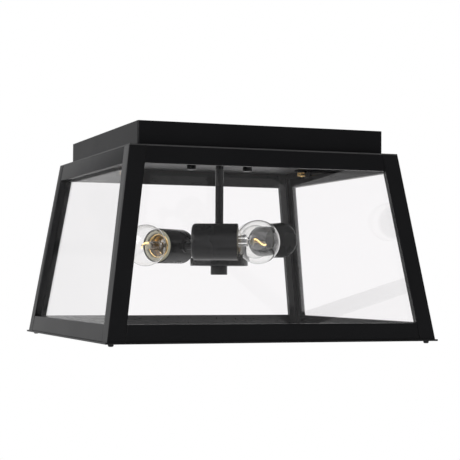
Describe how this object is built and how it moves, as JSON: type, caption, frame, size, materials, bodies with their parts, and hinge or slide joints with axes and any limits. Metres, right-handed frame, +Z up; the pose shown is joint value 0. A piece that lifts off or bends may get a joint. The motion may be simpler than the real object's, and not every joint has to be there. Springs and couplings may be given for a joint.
{
  "type": "porch ceiling lantern",
  "caption": "Square black metal lantern with clear glass sides, flush against the ceiling and open below, with round bulbs in sideways lamp holders.",
  "frame": {"origin": "centre of the pattern of outlet box slots, on the ceiling plane, which is the crossbar's and the canopy rim's top face", "axes": "+Z up into the ceiling, the lantern reaches down in -Z; -Y is the front, +X the right side"},
  "size_m": [0.3944, 0.3944, 0.2473],
  "materials": {
    "black_coat": "satin",
    "zinc_steel": "satin",
    "brass": "satin",
    "solder": "satin",
    "cream_ceramic": "matt",
    "pane_glass": "clear",
    "bulb_glass": "clear",
    "filament": "satin"
  },
  "bodies": {
    "lantern": {"crossbar": "zinc_steel", "canopy_studs": "zinc_steel", "canopy": "black_coat", "roof_plate": "black_coat", "post_front_left": "black_coat", "post_front_right": "black_coat", "post_back_right": "black_coat", "post_back_left": "black_coat", "top_rail_front": "black_coat", "bottom_rail_front": "black_coat", "pane_front": "pane_glass", "top_rail_right": "black_coat", "bottom_rail_right": "black_coat", "pane_right": "pane_glass", "top_rail_back": "black_coat", "bottom_rail_back": "black_coat", "pane_back": "pane_glass", "top_rail_left": "black_coat", "bottom_rail_left": "black_coat", "pane_left": "pane_glass", "bottom_flange": "black_coat", "flange_screws": "black_coat", "pane_clips": "black_coat", "clip_screws": "brass", "stem": "black_coat", "stem_nuts": "black_coat", "hub_dish": "black_coat", "holder_bracket": "black_coat", "arm_right": "black_coat", "holder_cup_right": "black_coat", "socket_insulator_right": "cream_ceramic", "screw_shell_right": "brass", "centre_contact_right": "brass", "arm_left": "black_coat", "holder_cup_left": "black_coat", "socket_insulator_left": "cream_ceramic", "screw_shell_left": "brass", "centre_contact_left": "brass", "arm_front": "black_coat", "holder_cup_front": "black_coat", "socket_insulator_front": "cream_ceramic", "screw_shell_front": "brass", "centre_contact_front": "brass"},
    "cap_nut_left": {"cap_nut_left": "black_coat"},
    "cap_nut_right": {"cap_nut_right": "black_coat"},
    "finial": {"finial": "black_coat"},
    "bulb_right": {"bulb_tip_right": "solder", "bulb_base_right": "brass", "bulb_globe_right": "bulb_glass", "bulb_filament_right": "filament"},
    "bulb_left": {"bulb_tip_left": "solder", "bulb_base_left": "brass", "bulb_globe_left": "bulb_glass", "bulb_filament_left": "filament"},
    "bulb_front": {"bulb_tip_front": "solder", "bulb_base_front": "brass", "bulb_globe_front": "bulb_glass", "bulb_filament_front": "filament"}
  },
  "joints": [
    {"name": "cap_nut_left_turn", "type": "hinge", "parent": "lantern", "child": "cap_nut_left", "pos_m": [-0.0368, 0, -0.0343], "axis": [0, 0, -1], "range_deg": [0, 1080]},
    {"name": "cap_nut_right_turn", "type": "hinge", "parent": "lantern", "child": "cap_nut_right", "pos_m": [0.0368, 0, -0.0343], "axis": [0, 0, -1], "range_deg": [0, 1080]},
    {"name": "finial_turn", "type": "hinge", "parent": "lantern", "child": "finial", "pos_m": [0, 0, -0.1635], "axis": [0, 0, -1], "range_deg": [0, 1440]},
    {"name": "bulb_right_unscrew", "type": "hinge", "parent": "lantern", "child": "bulb_right", "pos_m": [0.07164, 0.03535, -0.126], "axis": [-0.112, 0.9937, 0], "range_deg": [0, 1260]},
    {"name": "bulb_left_unscrew", "type": "hinge", "parent": "lantern", "child": "bulb_left", "pos_m": [-0.06643, 0.04437, -0.1335], "axis": [-0.8046, -0.5938, 0], "range_deg": [0, 1260]},
    {"name": "bulb_front_unscrew", "type": "hinge", "parent": "lantern", "child": "bulb_front", "pos_m": [-0.00521, -0.07972, -0.1307], "axis": [0.9166, -0.3999, 0], "range_deg": [0, 1260]}
  ]
}
